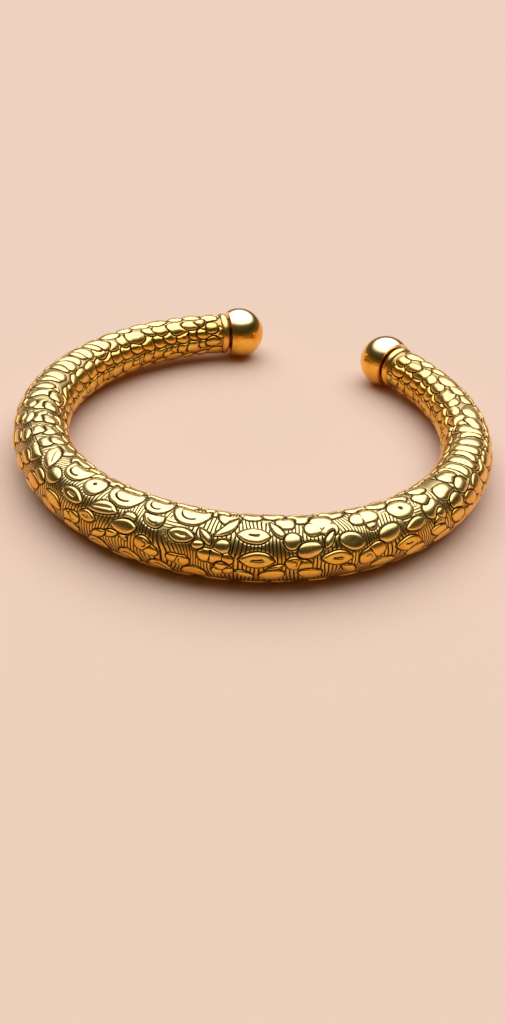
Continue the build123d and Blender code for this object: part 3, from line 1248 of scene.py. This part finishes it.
@dataclass
class ChasedTube:
    """The tube's chased skin, its seam and its inner wall.

    Fields:
        chasing: The relief.
        lengths: How many lengths the skin is made in, so that none has too many faces.
        step: Distance between grid points along the line.
        columns: Grid points round the section.
        seam_columns: How many of the gaps between them the solder line takes, on the wrist side.
        sheet: Thickness of the sheet.
        inner_rows: Grid points along the inner wall.
        inner_columns: Grid points round it.
        gold: The skin's finish.
        solder: The seam's finish.
        bare: The inner wall's finish.
    """

    chasing: Chasing = Chasing()
    lengths: int = 8
    step: float = 0.087
    columns: int = 320
    seam_columns: int = 4
    sheet: float = 0.5
    inner_rows: int = 181
    inner_columns: int = 48
    gold: GoldPlate = CHASED_PLATE
    solder: GoldPlate = FILED_SOLDER
    bare: GoldPlate = BARE_SHEET

    def grid(self) -> tuple[Array, Array]:
        """Lengths along the line, and angles round it from the seam and back to it."""
        rows = int(2 * LINE.arm / self.step / self.lengths) * self.lengths + 1
        along = np.linspace(-LINE.arm, LINE.arm, rows)
        around = np.linspace(-math.pi, math.pi, self.columns + 1)
        return along, around

    def surface(self) -> Surface:
        """The whole outer surface: the outer radius less the relief's depth, with its own normals.

        The normal is the cross product of the surface's slopes along its two parameters.

        Returns:
            The surface, with its first column repeated as its last.
        """
        along, around = self.grid()
        relief = self.chasing.work(along, around[:-1])
        depth = np.concatenate([relief.depth, relief.depth[:, :1]], axis=1)
        marks = {name: np.concatenate([mark, mark[:, :1]], axis=1) for name, mark in relief.marks.items()}
        grid_along, grid_around = np.meshgrid(along, around, indexing="ij")
        points = LINE.wall(grid_along, grid_around, LINE.radius(grid_along) - depth)
        padded = np.concatenate([points[:, -2:-1], points, points[:, 1:2]], axis=1)
        across = (padded[:, 2:] - padded[:, :-2]) / 2
        normals = np.cross(np.gradient(points, axis=0), across)
        normals /= np.linalg.norm(normals, axis=-1, keepdims=True)
        return Surface(points, normals, marks)

    def build(self) -> list[bpy.types.Object]:
        """Makes the skin in lengths, and the seam and inner wall in one piece each."""
        whole = self.surface()
        gold, solder = self.gold.material(), self.solder.material()
        rows = (whole.points.shape[0] - 1) // self.lengths
        half_seam = self.seam_columns // 2
        skin_columns = slice(half_seam, self.columns + 1 - half_seam)
        pieces = []
        for k in range(self.lengths):
            part = self.cut(whole, slice(k * rows, (k + 1) * rows + 1), skin_columns)
            skin = part.piece(f"chased_skin_{k + 1}")
            pieces.append(dress(skin, gold, "chased_tube"))
        seam_order = np.r_[self.columns - half_seam:self.columns, 0:half_seam + 1]
        seam = self.cut(whole, slice(None), seam_order)
        pieces.append(dress(seam.piece("seam_line"), solder, "seam_solder"))
        pieces.append(dress(self.inner_wall(), self.bare.material(), "chased_tube"))
        return pieces

    @staticmethod
    def cut(whole: Surface, rows: slice, columns: slice | Array) -> Surface:
        """A patch of the whole surface, sharing its edge points and normals with its neighbours."""
        return Surface(
            whole.points[rows][:, columns],
            whole.normals[rows][:, columns],
            {name: values[rows][:, columns] for name, values in whole.marks.items()},
        )

    def inner_wall(self) -> bpy.types.Object:
        """The inside of the sheet and its two end faces: a plain tube wall, turned to face inwards."""
        along = np.linspace(-LINE.arm, LINE.arm, self.inner_rows)
        ends = np.concatenate([[along[0]], along, [along[-1]]])
        around = np.linspace(0, math.tau, self.inner_columns, endpoint=False)[::-1]
        grid_along, grid_around = np.meshgrid(ends, around, indexing="ij")
        radius = LINE.radius(grid_along) - self.sheet
        radius[[0, -1]] += self.sheet - self.chasing.ground
        points = LINE.wall(grid_along, grid_around, radius)
        return Surface(points).piece("tube_inner_wall", closed_columns=True, sharp_at=40)


@dataclass
class BallEnd:
    """A collar, neck bush and two-domed ball on one mouth.

    Fields:
        side: Which arm.
        sizes: The sizes of the end.
        steps: Points round each piece.
        crest: Points over the collar's outside.
        pole: How far from the ball's tip its profile stops, in degrees, so that no points coincide.
    """

    side: Side
    sizes: Terminal = LINE.terminal
    steps: int = 160
    crest: int = 25
    pole: float = 0.01

    @staticmethod
    def arc(middle: tuple[float, float], radius: float, first: float, last: float, count: int) -> Array:
        """Points of a circular arc in the profile.

        Args:
            middle: The arc's centre, as (past the mouth, from the line).
            radius: Its radius.
            first: The angle of its first point, in degrees from the line's outward direction.
            last: The angle of its last point.
            count: How many points.

        Returns:
            The points, centre plus radius times cosine and sine.
        """
        angles = np.radians(np.linspace(first, last, count))
        return np.stack([middle[0] + radius * np.cos(angles), middle[1] + radius * np.sin(angles)], axis=-1)

    def turned(self, name: str, profile: Array, slot: str, material: bpy.types.Material,
               node: str) -> bpy.types.Object:
        """Revolves a closed profile into a piece that stands for a CAD node.

        Args:
            name: The piece's name.
            profile: Points of (past the mouth, from the line), clockwise round the metal.
            slot: Not used.
            material: Its finish.
            node: The CAD node it stands for.

        Returns:
            The piece.
        """
        if self.side is Side.LEFT:
            profile = profile[::-1]
        surface = LINE.revolved(self.side, profile, self.steps)
        piece = surface.piece(f"{name}_{self.side.word}", closed_rows=True, closed_columns=True, sharp_at=30)
        return dress(piece, material, f"{node}_{self.side.word}")

    def collar(self, material: bpy.types.Material) -> bpy.types.Object:
        """A ring of half-round wire: a flat bore, flat sides and half an ellipse outside."""
        size = self.sizes
        outer, inner = LINE.mouth_radius, LINE.mouth_radius - size.collar_section
        bow, half = size.collar_bow, size.collar_width / 2
        angles = np.radians(np.linspace(180, 0, self.crest))
        outside = np.stack([half + half * np.cos(angles), outer - bow + bow * np.sin(angles)], axis=-1)
        bore = np.array([[size.collar_width, inner], [0.0, inner]])
        return self.turned("collar", np.concatenate([outside, bore]), "plain_gold", material, "collar_ring")

    def bush(self, material: bpy.types.Material) -> bpy.types.Object:
        """The stepped bush that shows as the dark groove between collar and ball."""
        size = self.sizes
        shoulder = LINE.mouth_radius - size.collar_section - size.gap
        end = size.base + size.ball_wall + size.bush_inside_ball
        bore = size.rod_radius + size.gap
        profile = np.array([
            [0.0, bore], [0.0, shoulder], [size.base, shoulder],
            [size.base, size.bush_radius], [end, size.bush_radius], [end, bore],
        ])
        return self.turned("neck_bush", profile, "neck_bush", material, "neck_bush")

    def domes(self, material: bpy.types.Material) -> list[bpy.types.Object]:
        """The ball's two halves: sphere outside and inside, meeting at the ball's middle.

        The base's flat edge is softened by leaving out the first points of its rim.

        Args:
            material: Their finish.

        Returns:
            The base dome and the tip dome.
        """
        size = self.sizes
        middle = (size.centre, 0.0)
        inner = size.ball_radius - size.ball_wall
        base_angle = 180 - math.degrees(math.acos(size.base_to_centre / size.ball_radius))
        floor_angle = 180 - math.degrees(math.acos((size.base_to_centre - size.ball_wall) / inner))
        hole = size.bush_radius + size.gap
        rim = self.arc(middle, size.ball_radius, base_angle, 90, count=90)
        softened = [size.base, rim[0, 1] - size.base_round]
        base = np.concatenate([
            [[size.base, hole], softened], rim[2:],
            self.arc(middle, inner, 90, floor_angle, count=60),
            [[size.base + size.ball_wall, hole]],
        ])
        tip = np.concatenate([
            self.arc(middle, size.ball_radius, 90, self.pole, count=120),
            self.arc(middle, inner, self.pole, 90, count=90),
        ])
        return [
            self.turned("ball_base", base, "polished_gold", material, "ball_base_dome"),
            self.turned("ball_tip", tip, "polished_gold", material, "ball_tip_dome"),
        ]


@dataclass
class Inside:
    """The pieces that the tube hides: they keep the CAD model's shapes.

    Fields:
        rod: The core rod's finish.
        plate: Both end plates' finish.
        resin: The filling's finish.
    """

    rod: GoldPlate = DRAWN_WIRE
    plate: GoldPlate = SAWN_SHEET
    resin: CastResin = LAC_RESIN

    def build(self) -> None:
        """Gives each hidden CAD node its material."""
        finishes = {
            "core_rod": self.rod.material(),
            "resin_filling": self.resin.material(),
            "end_plate_left": self.plate.material(),
        }
        finishes["end_plate_right"] = finishes["end_plate_left"]
        for node, material in finishes.items():
            mesh_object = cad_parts[node]
            mesh_object.data.materials.clear()
            mesh_object.data.materials.append(material)


# ---------------------------------------------------------------- studio


@dataclass(frozen=True)
class Studio:
    """A pale floor, soft light from behind and above, and the camera.

    Fields:
        azimuth: The camera's direction round the bangle, 0 in front of its middle.
        elevation: Its height above the floor, in degrees.
        distance: From the point that it looks at.
        aim: That point, on the floor, from the middle of the tube's front.
        roll: The camera's turn about its own line of sight.
        lens: Focal length.
        sensor: Width of what the lens draws on.
        sight: The nearest and the farthest distance that the camera sees.
        floor_size: Length of the floor's sides.
        floor_colour: Its colour, a warm pale peach.
        light_tilt: How far the soft light leans back from overhead, in degrees.
        light_reach: From its middle to its edge, in degrees.
        light_edge: How far to either side of the edge it fades, in degrees.
        light_strength: How bright it is.
        light_colour: Its colour, a cool daylight.
        room: The dim room's colours, each from the upward part of the direction that one looks in.
    """

    azimuth: float = 17.15
    elevation: float = 34.4
    distance: float = 167.7
    aim: tuple[float, float] = (5.5, 16.4)
    roll: float = 3.26
    lens: float = 40.05
    sensor: float = 36.0
    sight: tuple[float, float] = (5.0, 20000.0)
    floor_size: float = 4000.0
    floor_colour: str = "#EEC9AC"
    light_tilt: float = 20.0
    light_reach: float = 44.0
    light_edge: float = 9.0
    light_strength: float = 2.5
    light_colour: str = "#EAF2FF"
    room: tuple[tuple[float, str], ...] = (
        (0.0, "#A0805C"), (0.16, "#6A5A38"), (0.42, "#34341E"), (1.0, "#55563E"),
    )

    def camera(self) -> None:
        """Makes the camera: back along its direction from the aim, level, then rolled."""
        azimuth, elevation = math.radians(self.azimuth), math.radians(self.elevation)
        level = math.cos(elevation)
        back = Vector((math.sin(azimuth) * level, -math.cos(azimuth) * level, math.sin(elevation)))
        front_middle = CAD_BOX[0].y / MM + LINE.belly_radius
        target = Vector((self.aim[0], front_middle + self.aim[1], 0.0))
        data = bpy.data.cameras.new("camera")
        data.sensor_width, data.lens = self.sensor, self.lens
        data.clip_start, data.clip_end = (limit * MM for limit in self.sight)
        camera = bpy.data.objects.new("camera", data)
        turn = back.to_track_quat("Z", "Y").to_matrix() @ Matrix.Rotation(math.radians(self.roll), 3, "Z")
        camera.matrix_world = Matrix.Translation((target + back * self.distance) * MM) @ turn.to_4x4()
        bpy.context.scene.collection.objects.link(camera)
        bpy.context.scene.camera = camera

    def floor(self) -> None:
        """A plain floor, painted matt: it takes a soft shadow and shows no reflection."""
        half = self.floor_size / 2
        corners = np.array([[[-half, -half, 0], [-half, half, 0]], [[half, -half, 0], [half, half, 0]]])
        mesh = bpy.data.meshes.new("floor")
        mesh.from_pydata((corners.reshape(-1, 3) * MM).tolist(), [], [(0, 2, 3, 1)])
        material, tree = new_tree("matt_floor")
        paint = {"Base Color": linear(self.floor_colour), "Roughness": 0.8}
        shader = add_node(tree, "ShaderNodeBsdfPrincipled", inputs=paint)
        add_node(tree, "ShaderNodeOutputMaterial", inputs=(shader.outputs[0],))
        mesh.materials.append(material)
        floor = bpy.data.objects.new("floor", mesh)
        bpy.context.scene.collection.objects.link(floor)

    def sky(self) -> None:
        """A great round soft light overhead, leaning back, in a dim room, brownish below and olive above.

        The light's edge is a smooth step of the cosine of the angle from its middle.
        """
        world = bpy.data.worlds.new("room")
        bpy.context.scene.world = world
        world.use_nodes = True
        tree = world.node_tree
        tree.nodes.clear()
        direction = add_node(tree, "ShaderNodeTexCoord").outputs["Generated"]
        height = add_node(tree, "ShaderNodeSeparateXYZ", inputs=(direction,)).outputs["Z"]
        ramp = add_node(tree, "ShaderNodeValToRGB", inputs=(height,))
        for place, _ in self.room[1:-1]:
            ramp.color_ramp.elements.new(place)
        for element, (place, colour) in zip(ramp.color_ramp.elements, self.room):
            element.position, element.color = place, linear(colour)
        tilt, away = math.radians(self.light_tilt), math.radians(self.azimuth)
        middle = (-math.sin(away) * math.sin(tilt), math.cos(away) * math.sin(tilt), math.cos(tilt))
        cosine = add_node(tree, "ShaderNodeVectorMath", {"operation": "DOT_PRODUCT"}, (direction, middle))
        outer, inner = (math.cos(math.radians(self.light_reach + k * self.light_edge)) for k in (1, -1))
        span = (cosine.outputs["Value"], outer, inner)
        share = add_node(tree, "ShaderNodeMapRange", SMOOTH, span).outputs[0]
        dim, bright = (
            add_node(tree, "ShaderNodeBackground", inputs={"Color": colour, "Strength": strength}).outputs[0]
            for colour, strength in (
                (ramp.outputs[0], 1.0), (linear(self.light_colour), self.light_strength),
            )
        )
        mixed = add_node(tree, "ShaderNodeMixShader", inputs=(share, dim, bright))
        add_node(tree, "ShaderNodeOutputWorld", inputs=(mixed.outputs[0],))

    def build(self) -> None:
        """Makes the whole studio."""
        self.camera()
        self.floor()
        self.sky()
        bpy.context.scene.view_settings.view_transform = "Standard"


def main() -> None:
    """Builds the bangle and its studio."""
    logging.basicConfig(level=logging.INFO, format="%(name)s: %(message)s")
    Studio().build()
    for piece in ChasedTube().build():
        LOG.info("%s: %d faces", piece.name, len(piece.data.polygons))
    collar_gold, ball_gold, bush_brass = (
        finish.material() for finish in (PLAIN_PLATE, POLISHED_PLATE, GROOVE_SHADE_BRASS)
    )
    for side in Side:
        end = BallEnd(side)
        for piece in (end.collar(collar_gold), end.bush(bush_brass), *end.domes(ball_gold)):
            LOG.info("%s: %d faces", piece.name, len(piece.data.polygons))
    Inside().build()
    LOG.info("hidden pieces dressed")


if __name__ == "__main__":
    main()
